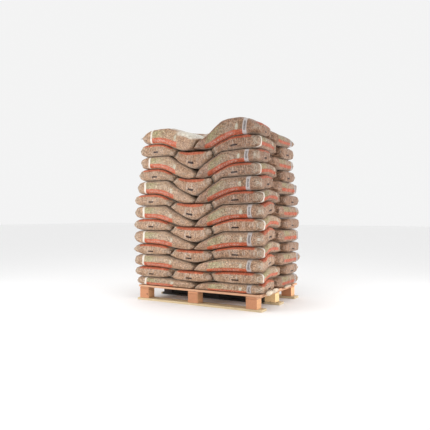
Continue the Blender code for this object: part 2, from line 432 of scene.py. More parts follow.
def crown(x, y):
    """Rise of the top over the plain level."""
    swell = fade(np.abs(x), *CROWN_EASE_X) * fade(np.abs(y), *CROWN_EASE_Y)
    hump = fade(np.abs(x - HUMP_X), *HUMP_EASE_X) * fade(y, *HUMP_EASE_Y)
    return swell * CROWN_HEIGHT + hump * HUMP_HEIGHT


def joint_height(k, px, py):
    """Height of the joint over layer k at points of the part's plan."""
    scale = plan_scale(level(k)) if k else 1.0
    x = np.clip((px - STACK_SHIFT_X) / scale, -NET_HALF_LENGTH, NET_HALF_LENGTH)
    y = np.clip(py / scale, -NET_HALF_WIDTH, NET_HALF_WIDTH)
    height = level(k) - sag(k, x, y) + side_rise(k, x, y)
    if k == LAYER_COUNT:
        height = height + crown(x, y)
    return height


class BagPattern:
    """The flat film bag: an upper and a lower sheet on one grid, joined along their rim."""

    def __init__(self, length, width, cells_along, cells_across, seed):
        self.length = length
        self.width = width
        where = far_place(random.Random(seed))
        rows = []
        index = {}
        for i in range(cells_along + 1):
            for j in range(cells_across + 1):
                u = 2.0 * i / cells_along - 1.0
                v = 2.0 * j / cells_across - 1.0
                x, y = u * length / 2, v * width / 2
                loft = BAG_LOFT[0] + BAG_LOFT[1] * (1 - u * u) * (1 - v * v)
                ripple = BAG_RIPPLE * noise.noise(Vector((x, y, 0.0)) * RIPPLES_PER_METRE + where)
                if i in (0, cells_along) or j in (0, cells_across):
                    index[i, j, 1] = index[i, j, -1] = len(rows)
                    rows.append((x, y, 0.0, u, v, 0.0))
                    continue
                for face in (1, -1):
                    index[i, j, face] = len(rows)
                    rows.append((x, y, face * loft + ripple, u, v, face))
        self.faces = []
        for i in range(cells_along):
            for j in range(cells_across):
                ring = ((i, j), (i + 1, j), (i + 1, j + 1), (i, j + 1))
                self.faces.append([index[a, b, 1] for a, b in ring])
                self.faces.append([index[a, b, -1] for a, b in reversed(ring)])
        self.points = [row[:3] for row in rows]
        self.along, self.across, self.side = np.array(rows).T[3:]


def plate(height, looks_up):
    """One of the two flat plates that the bag is blown up between."""
    mesh = bpy.data.meshes.new("plate")
    mesh.from_pydata(square(PLATE_HALF, height), [], [(0, 1, 2, 3) if looks_up else (3, 2, 1, 0)])
    thing = placed("plate", mesh)
    thing.modifiers.new("press", "COLLISION")
    thing.collision.thickness_outer = 0.002
    thing.collision.thickness_inner = 0.05
    thing.collision.damping = 0.9
    thing.collision.cloth_friction = 0
    return thing


def simulated(pattern, thickness, frames, pressure, stiffness, bending):
    """The bag's points after it was blown up between two plates."""
    mesh = bpy.data.meshes.new("bag")
    mesh.from_pydata(pattern.points, [], pattern.faces)
    bag = placed("bag", mesh)
    plates = [plate(-thickness / 2, True), plate(thickness / 2, False)]
    cloth = bag.modifiers.new("film", "CLOTH")
    film = cloth.settings
    for name, value in FILM_CLOTH.items():
        setattr(film, name, value)
    film.tension_stiffness = stiffness
    film.compression_stiffness = stiffness
    film.shear_stiffness = stiffness * SHEAR_SHARE
    film.bending_stiffness = bending
    film.uniform_pressure_force = pressure
    film.effector_weights.gravity = 0
    cloth.collision_settings.use_collision = True
    cloth.collision_settings.distance_min = 0.003
    cloth.collision_settings.use_self_collision = False
    cloth.point_cache.frame_start = 1
    cloth.point_cache.frame_end = frames
    for number in range(1, frames + 1):
        bpy.context.scene.frame_set(number)
    shown = bag.evaluated_get(bpy.context.evaluated_depsgraph_get())
    full = np.empty(len(pattern.points) * 3)
    shown.data.vertices.foreach_get("co", full)
    for thing in [bag, *plates]:
        bpy.data.objects.remove(thing, do_unlink=True)
    bpy.context.scene.frame_set(1)
    return full.reshape(-1, 3)


def blown_up(pattern, *how):
    """The bag's points once it is full, as fractions of its half length, half width and half thickness."""
    full = simulated(pattern, *how)
    full = full - full.mean(0)
    half_length = np.abs(full[np.abs(full[:, 1]) < MIDDLE_SHARE * pattern.width, 0]).max()
    half_width = np.abs(full[np.abs(full[:, 0]) < MIDDLE_SHARE * pattern.length, 1]).max()
    half_height = np.abs(full[:, 2]).max()
    return full / (half_length, half_width, half_height)


@functools.lru_cache(maxsize=None)
def full_bags(kind):
    """The pattern of a kind of sack and the shapes that it is blown up to."""
    pattern = BagPattern(*BAGS[kind])
    return pattern, tuple(blown_up(pattern, *how) for how in BLOW_UPS)


LEFT, RIGHT, FRONT, BACK = "left", "right", "front", "back"
# Plan directions of a bag's length, away from its outward end, and of its right-hand side
BAG_AXES = {
    LEFT: ((1, 0), (0, -1)),
    RIGHT: ((-1, 0), (0, 1)),
    FRONT: ((0, 1), (1, 0)),
    BACK: ((0, -1), (-1, 0)),
}


Place = collections.namedtuple("Place", "name box outward kind")
Bag = collections.namedtuple("Bag", "points along across side inside_out")


def places_in(layer):
    """The five places of a layer, each with its name, plan box, outward end and kind."""
    x, w = HALF_LENGTH, HALF_WIDTH
    if layer % 2 == 1:
        y = LONG_ROW_SEAM_Y
        return (
            Place("front_left", (-x, END_SEAM_X, -w, y), LEFT, "long"),
            Place("front_right", (END_SEAM_X, x, -w, y), RIGHT, "long"),
            Place("back_left", (-x, -SIDE_SEAM_X, y, w), BACK, "cross"),
            Place("back_middle", (-SIDE_SEAM_X, SIDE_SEAM_X, y, w), BACK, "cross"),
            Place("back_right", (SIDE_SEAM_X, x, y, w), BACK, "cross"),
        )
    y = CROSS_ROW_SEAM_Y
    return (
        Place("front_left", (-x, -SIDE_SEAM_X, -w, y), FRONT, "cross"),
        Place("front_middle", (-SIDE_SEAM_X, SIDE_SEAM_X, -w, y), FRONT, "cross"),
        Place("front_right", (SIDE_SEAM_X, x, -w, y), FRONT, "cross"),
        Place("back_left", (-x, END_SEAM_X, y, w), LEFT, "long"),
        Place("back_right", (END_SEAM_X, x, y, w), RIGHT, "long"),
    )


def corner_kind(x, y, top):
    """What kind of place a corner of a bag lies in, from its place in the plan."""
    on_end, on_long = abs(x) == HALF_LENGTH, abs(y) == HALF_WIDTH
    if on_end and on_long:
        return "stack_top" if top else "stack"
    if on_end:
        return "end_face"
    if on_long:
        return "tip" if x == END_SEAM_X else "long_face"
    return "hidden"


def corners_of(place, top):
    """The bag's corners as (end, hand, place, kind), where end and hand are -1 or 1."""
    (ax, ay), (bx, by) = BAG_AXES[place.outward]
    west, east, south, north = place.box
    found = []
    for end in (-1, 1):
        for hand in (-1, 1):
            x = east if end * ax + hand * bx > 0 else west
            y = north if end * ay + hand * by > 0 else south
            found.append((end, hand, (x, y), CORNERS[corner_kind(x, y, top)]))
    return found


def rounded(u, v, corners, chance):
    """Draws the ears at the bag's corners in towards a rounded rectangle, each as its place asks."""
    s, t = np.clip((u + 1) / 2, 0, 1), np.clip((v + 1) / 2, 0, 1)
    pull, power = 0.0, 0.0
    for end, hand, _, corner in corners:
        share = (s if end > 0 else 1 - s) * (t if hand > 0 else 1 - t)
        pull = pull + share * chance.uniform(corner.least_pull, corner.greatest_pull)
        power = power + share * corner.power
    reach = (np.abs(u) ** power + np.abs(v) ** power) ** (1 / power)
    share = 1.0 + (1.0 / np.maximum(reach, 1.0) - 1.0) * pull
    return u * share, v * share


def thinned(x, y, corners, edges):
    """The share of its full thickness that a sack has near its corners."""
    west, east, south, north = (edge[0] for edge in edges)
    share = np.ones_like(x)
    for _, _, (cx, cy), corner in corners:
        cx = east if cx > (west + east) / 2 else west
        cy = north if cy > (south + north) / 2 else south
        off = np.hypot(x - cx, y - cy)
        t = np.clip((off - corner.taper_to) / (corner.taper_from - corner.taper_to), 0.0, 1.0)
        thick = np.sqrt(1.0 - (1.0 - t) ** 2)
        share = np.minimum(share, corner.thinnest + (1.0 - corner.thinnest) * thick)
    return share


def ear_paleness(bag, pattern, corners):
    """How far the film lies empty at each point, from its distance to the flat bag's corners."""
    pale = np.zeros_like(bag.along)
    for end, hand, _, corner in corners:
        off_end = (1 - end * bag.along) * pattern.length / 2
        off_side = (1 - hand * bag.across) * pattern.width / 2
        pale = np.maximum(pale, corner.paleness * fade(np.hypot(off_end, off_side), *EAR_SIZE))
    return pale


def turned(shape, pattern, chance):
    """The bag, mirrored at random, and whether its faces now look inwards."""
    mirrors = [chance.choice((1, -1)) for _ in range(3)]
    places = zip((pattern.along, pattern.across, pattern.side), mirrors)
    return Bag(shape * mirrors, *(place * mirror for place, mirror in places), math.prod(mirrors) < 0)


def lumps(x, y, z, chance):
    """Shallow bumps of the pellets under the film."""
    total = np.zeros_like(x)
    for _ in range(LUMP_COUNT):
        turn, rise = chance.uniform(0, math.tau), chance.uniform(-LUMP_RISE, LUMP_RISE)
        step = math.tau / chance.uniform(*LUMP_WAVE)
        phase = chance.uniform(0, math.tau)
        total += np.sin((x * math.cos(turn) + y * math.sin(turn) + z * rise) * step + phase)
    return total * LUMP_HEIGHT / 2


def squeezed(fraction, outer):
    """Flattens a bag's side: fractions near 1 are pressed together, more at a seam than at an outer side."""
    rest = 1.0 - SQUEEZED_FROM
    gain = SIDE_GAIN if outer else SEAM_GAIN
    reach = np.abs(fraction) * gain
    full = SQUEEZED_FROM + rest * math.tanh((gain - SQUEEZED_FROM) / rest)
    pressed = SQUEEZED_FROM + rest * np.tanh((reach - SQUEEZED_FROM) / rest)
    side = np.where(reach > SQUEEZED_FROM, pressed, reach) / full
    ear = np.clip(np.abs(fraction) - 1.0, 0.0, EAR_REACH) if outer else 0.0
    return np.sign(fraction) * (side + ear)


def stretched(fraction, start, end, tall):
    """Plan coordinate of the bag's fractions between two edges, each (place, lean, outer)."""
    low = squeezed(np.minimum(fraction, 0.0), start[2])
    high = squeezed(np.maximum(fraction, 0.0), end[2])
    first = start[0] + (0.0 if start[2] else FILM_CLEARANCE) + start[1] * tall
    last = end[0] - (0.0 if end[2] else FILM_CLEARANCE) + end[1] * tall
    return first + (last - first) * (low + high + 1) / 2


def plan_edges(layer, place, chance):
    """The west, east, south and north edges of a sack's place, each with its lean and whether it is outer."""
    top, front = layer == LAYER_COUNT, place.name.startswith("front")
    edges = []
    for at, limit in zip(place.box, (HALF_LENGTH, HALF_LENGTH, HALF_WIDTH, HALF_WIDTH)):
        if abs(at) == limit:
            give = OUTER_GIVE
            if at == -HALF_LENGTH:
                give = TOP_LEFT_GIVE if top and front else LEFT_GIVE
            edges.append((at - math.copysign(chance.uniform(*give), at), 0.0, True))
            continue
        shift = FRONT_SEAM_SHIFT.get(at, 0.0) if front else 0.0
        lean = SEAM_LEAN.get(at, 0.0)
        if top and front and at in TOP_SEAM_SHIFT:
            shift, lean = TOP_SEAM_SHIFT[at], TOP_SEAM_LEAN[at]
        edges.append((at + shift, lean, False))
    return edges


def room_for(layer, place, px, py):
    """Heights under and over a sack at points of the plan: the joints, less what the sack leaves free."""
    low = joint_height(layer - 1, px, py) + FILM_CLEARANCE
    high = joint_height(layer, px, py) - FILM_CLEARANCE
    x = (px - STACK_SHIFT_X) / sack_scale(layer)
    from_v = np.abs(x - v_place(layer))
    thick = high - low
    if place.kind == "long":
        nose = fade(from_v, 0.0, NOSE_REACH)
        if layer < LAYER_COUNT:
            high = high - thick * (NOSE_DROP * nose + TIP_DROP * fade(from_v, 0.0, TIP_REACH))
        elif place.name.endswith("left"):
            high = high - thick * TOP_LEFT_NOSE_DROP * fade(from_v, 0.0, TOP_LEFT_NOSE_REACH)
        else:
            high = high - thick * TOP_RIGHT_TIP_DROP * fade(from_v, 0.0, TOP_RIGHT_TIP_REACH)
        low = low + thick * TIP_LIFT * nose
        if layer == LAYER_COUNT:
            low = low + TOP_GAP * fade(from_v, *TOP_GAP_EASE)
    elif place.name.endswith("middle"):
        depth = V_SAG[(layer - 2) // 2] / max(V_SAG)
        low = low + V_ROUNDING * depth * fade(from_v, 0.0, V_ROUNDING_REACH)
    if layer == LAYER_COUNT:
        from_end = HALF_LENGTH - np.abs(x)
        high = high - thick * TOP_END_DROP * fade(from_end, 0.0, TOP_END_REACH)
    return low, high


def tones_of(layer, name):
    """The range of tones of a sack: the right-hand ones are darker with painted shade, and most so high up.
    """
    height = "high" if layer >= PAINTED_SHADE_FROM_LAYER else "low"
    if name == "back_right":
        return PAINTED_SHADE_TONES["back_" + height]
    if name == "front_right" and layer > SUNNY_LAYERS:
        return PAINTED_SHADE_TONES[height]
    return TONES.get(name, OTHER_TONES)


def fitted(layer, place, full, corners, chance):
    """A full bag's points in its place in the stack, and how high each lies in it, from -1 to 1."""
    u, v = rounded(full[:, 0], full[:, 1], corners, chance)
    tall = np.clip(full[:, 2], -1.0, 1.0)
    tall = np.sign(tall) * np.abs(tall) ** SIDE_FLATNESS
    (ax, ay), (bx, by) = BAG_AXES[place.outward]
    west, east, south, north = edges = plan_edges(layer, place, chance)
    x = stretched(u * ax + v * bx, west, east, tall)
    y = stretched(u * ay + v * by, south, north, tall)
    tall = tall * thinned(x, y, corners, edges)
    bulge = lumps(x, y, tall * LUMP_HALF_DEPTH, chance)
    x = x + np.where(np.abs(x) > HALF_LENGTH - LUMPY_RIM, np.sign(x), 0.0) * bulge
    y = y + np.where(np.abs(y) > HALF_WIDTH - LUMPY_RIM, np.sign(y), 0.0) * bulge
    scale = sack_scale(layer)
    px, py = STACK_SHIFT_X + x * scale, y * scale
    low, high = room_for(layer, place, px, py)
    return np.stack([px, py, low + (high - low) * (tall + 1) / 2], 1), tall


def mark_film(mesh, layer, place, bag, tall, pattern, corners, chance):
    """Stores where each point lies on the film. The material draws its folds and its print by that."""
    top = layer == LAYER_COUNT
    from_end = (1 + bag.along) / 2 * pattern.length
    to_weld = np.minimum(from_end, pattern.length - from_end)
    from_side = bag.side * (1 - np.abs(bag.across)) * pattern.width / 2
    right_hand = bag.across > 0
    ring = RING_START[place.outward] + (TOP_LAYER_RING_SHIFT if top else 0.0)
    field_end = ring + np.where(right_hand, *FIELD_LENGTH[place.kind])
    if place.name == "front_left" and place.kind == "long":
        ring += chance.uniform(0.0, LEFT_RING_SPREAD)
    band_middle = np.where(right_hand, *BAND_MIDDLE[place.kind])
    tone = chance.uniform(*tones_of(layer, place.name))
    plain_end = place.name == "back_right" and place.kind == "long"
    pressed = np.where(tall > 0, 0.0 if top else 1.0, 1.0) * ramp(np.abs(tall), *PRESSED_FROM)
    weld_near = np.exp(-to_weld / WELD_CREASE_LENGTH)
    set_attribute(mesh, "film_place", from_end, bag.across, from_side)
    set_attribute(mesh, "film_print", ring, field_end, band_middle)
    set_attribute(mesh, "film_block", 0.0 if plain_end else 1.0)
    # How far across the film the painted sheen of the top left sack reaches
    set_attribute(mesh, "film_panel", TOP_LEFT_SHEEN if top and place.name == "front_left" else 0.0)
    set_attribute(mesh, "film_press", pressed)
    set_attribute(mesh, "film_ear", ear_paleness(bag, pattern, corners))
    set_attribute(mesh, "film_look", tone, weld_near, BAND_HALF_HEIGHT[place.kind])


def lay_sack(layer, place, shape, pattern, chance, material):
    """Fits one full bag into its place in the stack."""
    bag = turned(shape, pattern, chance)
    corners = corners_of(place, layer == LAYER_COUNT)
    points, tall = fitted(layer, place, bag.points, corners, chance)
    # A sack's right-hand side is on the right of who looks in from its outward end, which takes one mirror
    faces = pattern.faces if bag.inside_out else [list(reversed(face)) for face in pattern.faces]
    mesh = bpy.data.meshes.new(f"sack_{layer:02d}_{place.name}")
    mesh.from_pydata(points.tolist(), [], faces)
    mark_film(mesh, layer, place, bag, tall, pattern, corners, chance)
    sack = object_of(mesh, material)
    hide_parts(f"sack_layer_{layer:02d}")


def set_attribute(mesh, name, *parts):
    """Stores a number or a vector for each point. A part is an array, or one number for all points."""
    vector = len(parts) == 3
    values = np.stack([np.broadcast_to(part, len(mesh.vertices)) for part in parts], 1)
    attribute = mesh.attributes.new(name, "FLOAT_VECTOR" if vector else "FLOAT", "POINT")
    attribute.data.foreach_set("vector" if vector else "value", values.astype(np.float32).ravel())


def object_of(mesh, material, smooth=True):
    """Links a mesh as a piece of the root body."""
    mesh.materials.append(material)
    if smooth:
        mesh.shade_smooth()
    mesh.update()
    thing = placed(mesh.name, mesh)
    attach(thing, ROOT)
    return thing


class NodeSketch:
    """Adds nodes to a tree in few words. An input takes a number, a colour or another node's output."""

    def __init__(self, tree):
        self.tree = tree

    def put(self, socket, value):
        if isinstance(value, bpy.types.NodeSocket):
            self.tree.links.new(value, socket)
        else:
            socket.default_value = (*value, 1.0) if socket.type == "RGBA" else value

    def add(self, kind, inputs, output=0, **settings):
        node = self.tree.nodes.new(kind)
        for name, value in settings.items():
            setattr(node, name, value)
        for name, value in inputs.items():
            self.put(node.inputs[name], value)
        return node.outputs[output]

    def math(self, operation, a, b=0.0):
        return self.add("ShaderNodeMath", {0: a, 1: b}, operation=operation)

    def plus(self, a, b):
        return self.math("ADD", a, b)

    def minus(self, a, b):
        return self.math("SUBTRACT", a, b)

    def times(self, *factors):
        return functools.reduce(lambda a, b: self.math("MULTIPLY", a, b), factors)


class Sketch(NodeSketch):
    """A material in the making."""

    def __init__(self, name):
        self.material = bpy.data.materials.new(name)
        self.material.use_nodes = True
        super().__init__(self.material.node_tree)
        self.shader = self.tree.nodes["Principled BSDF"]

    def scaled(self, vector, factors):
        return self.add("ShaderNodeVectorMath", {0: vector, 1: factors}, operation="MULTIPLY")

    def length_of(self, a, b):
        return self.math("SQRT", self.plus(self.times(a, a), self.times(b, b)))

    def attribute(self, name, output="Fac"):
        return self.add("ShaderNodeAttribute", {}, output, attribute_name=name)

    def coordinates(self, output="Object"):
        return self.add("ShaderNodeTexCoord", {}, output)

    def split(self, vector):
        node = self.tree.nodes.new("ShaderNodeSeparateXYZ")
        self.put(node.inputs[0], vector)
        return node.outputs

    def combined(self, x, y, z):
        return self.add("ShaderNodeCombineXYZ", {0: x, 1: y, 2: z})

    def ease(self, value, start, end, low=0.0, high=1.0):
        """low before start and high after end, eased between them."""
        inputs = {0: value, 1: start, 2: end, 3: low, 4: high}
        return self.add("ShaderNodeMapRange", inputs, interpolation_type="SMOOTHSTEP")

    def fall(self, value, start, end):
        """1 before start and 0 after end, eased between them."""
        return self.ease(value, start, end, 1.0, 0.0)

    def between(self, value, start, end, soft):
        """1 from start to end, with soft edges."""
        rise = self.ease(value, start - soft, start + soft)
        return self.minus(rise, self.ease(value, end - soft, end + soft))

    def noise(self, vector, scale, detail=2.0, roughness=0.5):
        inputs = {"Vector": vector, "Scale": scale, "Detail": detail, "Roughness": roughness}
        return self.add("ShaderNodeTexNoise", inputs)

    def fold_lines(self, noise, width, on_line=1.0, off_line=0.0):
        """Thin lines where a noise has its middle value."""
        return self.ease(self.math("ABSOLUTE", self.minus(noise, 0.5)), 0.0, width, on_line, off_line)

    def mix(self, share, a, b, blend="MIX"):
        return self.add("ShaderNodeMix", {0: share, 6: a, 7: b}, 2, data_type="RGBA", blend_type=blend)

    def product(self, a, b):
        return self.mix(1.0, a, b, "MULTIPLY")

    def stops(self, value, *stops):
        """A colour ramp through (position, colour) stops."""
        node = self.tree.nodes.new("ShaderNodeValToRGB")
        self.put(node.inputs[0], value)
        points = node.color_ramp.elements
        while len(points) < len(stops):
            points.new(0.5)
        for point, (position, colour) in zip(points, stops):
            point.position = position
            point.color = (*colour, 1.0)
        return node.outputs[0]

    def bump(self, height, strength, distance, under=None):
        inputs = {"Height": height, "Strength": strength, "Distance": distance}
        if under is not None:
            inputs["Normal"] = under
        return self.add("ShaderNodeBump", inputs)

    def finish(self, **inputs):
        for name, value in inputs.items():
            self.put(self.shader.inputs[name.replace("_", " ")], value)
        return self.material


class FilmSketch(Sketch):
    """The film's material, with the places on the bag that its layers of colour share."""

    def __init__(self, look):
        super().__init__("printed_film_over_pellets")
        self.look = look
        self.place = self.coordinates()
        self.from_end, self.across, self.from_side = self.split(self.attribute("film_place", "Vector"))
        self.ring_start, self.field_end, self.band_middle = self.split(self.attribute("film_print", "Vector"))
        self.tone, self.weld_near, self.half_band = self.split(self.attribute("film_look", "Vector"))
        self.ear = self.attribute("film_ear")
        self.off_middle = self.math("ABSOLUTE", self.across)
        self.side_face = self.ease(self.off_middle, *SIDE_FACE)
        self.upper = self.math("GREATER_THAN", self.from_side, 0.0)
        self.right_hand = self.math("GREATER_THAN", self.across, 0.0)
        self.left_hand = self.minus(1.0, self.right_hand)
        # The print's edges wander a little
        self.wander = self.times(self.minus(self.noise(self.place, 60.0, 3.0), 0.5), PRINT_WANDER)
        self.along = self.plus(self.from_end, self.wander)
        self.height = self.plus(self.from_side, self.wander)
        # The fields of colour, and the way along them from where a reader starts
        past_start = self.minus(self.along, self.ring_start)
        self.past_end = self.minus(self.along, self.field_end)
        self.field = self.minus(
            self.ease(past_start, *FIELD_START), self.ease(self.past_end, -FIELD_SOFTNESS, FIELD_SOFTNESS)
        )
        to_end = self.times(self.left_hand, self.minus(self.field_end, self.along))
        self.reading = self.plus(self.times(self.right_hand, past_start), to_end)

    def patches(self, noise, limits):
        """Random patches on the film, eased from a noise between limits."""
        return self.ease(self.noise(self.place, *noise), *limits)


def film_material(look):
    """Clear printed film over wood pellets."""
    m = FilmSketch(look)
    pellets, grain = pellet_colours(m)
    folds_at = m.combined(m.times(m.from_end, FOLD_SCALES[0]), m.times(m.across, FOLD_SCALES[1]), m.tone)
    folds = m.noise(folds_at, *FOLD_NOISE)
    creases = m.noise(m.place, *CREASE_NOISE)
    crumple = m.noise(m.place, *CRUMPLE_NOISE)
    # The ink is thin, so the pellets' light and shade come through it
    shades = m.scaled(pellets, tuple(1.0 / channel for channel in look.pellet_colour))
    ink = m.mix(BAND_INK, look.band_colour, m.product(look.band_colour, shades))
    soft_ink = m.mix(SOFT_INK, look.soft_print_colour, m.product(look.soft_print_colour, shades))
    colour = veiled(m, pellets, folds, creases, crumple)
    colour = with_soft_print(m, colour, soft_ink)
    colour = with_band(m, colour, ink)
    colour = with_end_print(m, colour, ink)
    colour = with_top_panel_and_painted_sheen(m, colour)
    colour = with_ring(m, colour)
    relief = m.bump(grain, 0.45, 0.0020)
    relief = m.bump(m.times(folds, m.plus(m.weld_near, 0.10)), 0.9, 0.007, relief)
    relief = m.bump(creases, 0.45, 0.006, relief)
    relief = m.bump(m.times(crumple, m.ear), 0.9, 0.012, relief)
    rough = m.ease(m.noise(m.place, 24.0), 0.3, 0.7, 0.26, 0.48)
    return m.finish(
        Base_Color=colour, Roughness=rough, Normal=relief, Specular_IOR_Level=0.20,
        Coat_Weight=look.film_gloss, Coat_Roughness=0.10, IOR=1.5,
    )


def veiled(m, pellets, folds, creases, crumple):
    """The film's pale veil near the welds and joints and at the empty corners, and painted glints along its
    creases.
    """
    # Painted glints: pale lines along the creases, in random patches
    painted_glint = m.times(m.fold_lines(creases, 0.030), m.patches(PAINTED_GLINT_NOISE, PAINTED_GLINT_PATCHES))
    fold_share = m.times(m.ease(folds, *FOLD_PATCHES), m.plus(m.times(m.weld_near, WELD_FOLD_SHARE), m.ear))
    veil = m.plus(m.times(painted_glint, PAINTED_GLINT_SHARE), fold_share)
    veil = m.plus(veil, m.times(m.attribute("film_press"), PRESSED_HAZE))
    colour = m.mix(m.plus(veil, m.look.film_haze), pellets, m.look.veil_colour)
    wrinkles = m.fold_lines(crumple, 0.07, 1.0, 0.15)
    return m.mix(m.times(m.ear, wrinkles), colour, m.look.empty_film_colour)


def with_soft_print(m, colour, ink):
    """A green field, a pale cloudy one and a round spot, over the band."""
    over_band = m.minus(m.height, m.plus(m.band_middle, m.half_band))
    cloudy = m.noise(m.place, *CLOUD_NOISE)
    area = m.times(m.field, m.side_face, m.between(over_band, *SOFT_PRINT_RISE, 0.006))
    green = m.times(area, m.ease(m.reading, *GREEN_ALONG), m.ease(cloudy, *GREEN_CLOUDS))
    colour = m.mix(green, colour, ink)
    pale = m.times(area, m.between(m.reading, *PALE_PRINT, 0.03), m.ease(cloudy, *PALE_CLOUDS))
    colour = m.mix(pale, colour, m.look.veil_colour)
    spot_rise = m.times(m.minus(over_band, SPOT_RISE), 0.7)
    off_spot = m.length_of(m.minus(m.reading, m.look.spot_place), spot_rise)
    spot = m.times(m.ease(off_spot, *SPOT_FADE), m.side_face, m.ease(cloudy, *SPOT_CLOUDS))
    return m.mix(spot, colour, m.look.spot_colour)


def with_band(m, colour, ink):
    """The printed band, with random pale flecks."""
    inside = m.minus(m.half_band, m.math("ABSOLUTE", m.minus(m.height, m.band_middle)))
    band = m.times(m.field, m.side_face, m.ease(inside, -0.002, 0.002))
    colour = m.mix(m.times(band, m.patches(INK_NOISE, BAND_PATCHES)), colour, ink)
    fleck_at = m.combined(m.times(m.along, 150.0), m.times(m.height, 90.0), m.tone)
    flecks = m.times(
        band, m.ease(inside, *FLECKS_FROM_EDGE), m.between(m.reading, *FLECKS, 0.01),
        m.ease(m.noise(fleck_at, 1.0, 1.0), *FLECK_PATCHES), FLECK_SHARE,
    )
    return m.mix(flecks, colour, m.look.veil_colour)


def with_end_print(m, colour, ink):
    """The outward end: a block of colour on its upper shoulder and a dark mark below its middle."""
    shoulder = m.times(
        m.upper, m.fall(m.off_middle, *SHOULDER_REACH), m.between(m.along, *SHOULDER_BLOCK, 0.002),
        m.patches(INK_NOISE, BLOCK_PATCHES), m.attribute("film_block"),
    )
    colour = m.mix(shoulder, colour, ink)
    mark_reach = m.fall(m.off_middle, *MARK_REACH)
    mark = m.times(m.minus(1.0, m.upper), m.between(m.from_end, *END_MARK, 0.001), mark_reach)
    return m.mix(mark, colour, m.look.mark_colour)


def with_top_panel_and_painted_sheen(m, colour):
    """A milky unprinted panel on the upper side, and a painted sheen, a pale reflection, on the top left
    sack's shoulder.
    """
    panel = m.times(
        m.upper, m.fall(m.off_middle, *PANEL_REACH), m.between(m.from_end, *TOP_PANEL, 0.030),
        m.patches(PANEL_NOISE, PANEL_PATCHES),
    )
    colour = m.mix(panel, colour, m.look.panel_colour)
    # The painted sheen: pale colour for a reflection on the top left sack's shoulder
    past_sheen = m.plus(m.minus(m.off_middle, m.attribute("film_panel")), m.times(m.wander, SHEEN_WANDER))
    sheen = m.times(
        m.upper, m.fall(past_sheen, -SHEEN_FADE, 0.0), m.ease(m.past_end, *SHEEN_START),
        m.fall(m.from_end, *SHEEN_END), m.patches(SHEEN_NOISE, SHEEN_PATCHES),
    )
    return m.mix(sheen, colour, m.look.painted_sheen_colour)


def with_ring(m, colour):
    """The ring round the bag, wider on the left-hand side, where it carries dark bars."""
    label = m.times(m.left_hand, m.side_face)
    into_ring = m.minus(m.from_end, m.ring_start)
    past_ring = m.minus(into_ring, m.plus(RING_WIDTH, m.times(label, LABEL_WIDTH - RING_WIDTH)))
    before_edge = m.fall(past_ring, -RING_SOFTNESS, RING_SOFTNESS)
    ring = m.times(m.ease(into_ring, -RING_SOFTNESS, RING_SOFTNESS), before_edge)
    paper = m.mix(label, m.look.ring_colour, m.look.label_colour)
    colour = m.mix(m.times(ring, m.patches(RING_NOISE, RING_PATCHES)), colour, paper)
    bar_phase = m.math("FRACT", m.times(m.from_side, BARS_PER_METRE))
    bars = m.times(
        ring, label, m.between(into_ring, *BAR_PLACE, RING_SOFTNESS),
        m.between(m.from_side, -BAR_HALF_HEIGHT, BAR_HALF_HEIGHT, RING_SOFTNESS),
        m.math("GREATER_THAN", bar_phase, BAR_GAP_SHARE), BAR_SHARE,
    )
    return m.mix(bars, colour, m.look.mark_colour)


def pellet_colours(m):
    """Heaps of short sticks, each heap turned its own way. Returns their colour and their relief."""
    heap = m.add("ShaderNodeTexVoronoi", {"Vector": m.place, "Scale": HEAPS_PER_METRE}, "Color")
    turn = m.scaled(heap, (math.tau, math.tau, math.tau))
    lying = m.add("ShaderNodeVectorRotate", {"Vector": m.place, "Rotation": turn}, rotation_type="EULER_XYZ")
    thin = 1.0 / m.look.pellet_thickness
    sticks = m.scaled(lying, (thin, thin, 1.0 / m.look.pellet_length))
    stick = m.add("ShaderNodeTexVoronoi", {"Vector": sticks, "Scale": 1.0}).node
    base = m.look.pellet_colour
    shades = [(place, tinted(base, factor, cool)) for place, factor, cool in PELLET_SHADES]
    pellets = m.stops(m.split(stick.outputs["Color"])[0], *shades)
    # Painted shade: darker in the crevices between the pellets
    painted_crevice_shade = m.ease(stick.outputs["Distance"], 0.40, 0.90, 0.0, 0.60)
    pellets = m.mix(painted_crevice_shade, pellets, tinted(base, *PAINTED_CREVICE_SHADE))
    return m.product(pellets, m.stops(m.tone, *TONE_CASTS)), m.minus(1.0, stick.outputs["Distance"])


def tinted(colour, factor, cool):
    """A colour made lighter or darker, and paler where cool is over 1."""
    red, green, blue = (channel * factor for channel in colour[:3])
    return min(1.0, red), min(1.0, green * cool), min(1.0, blue * cool * cool)


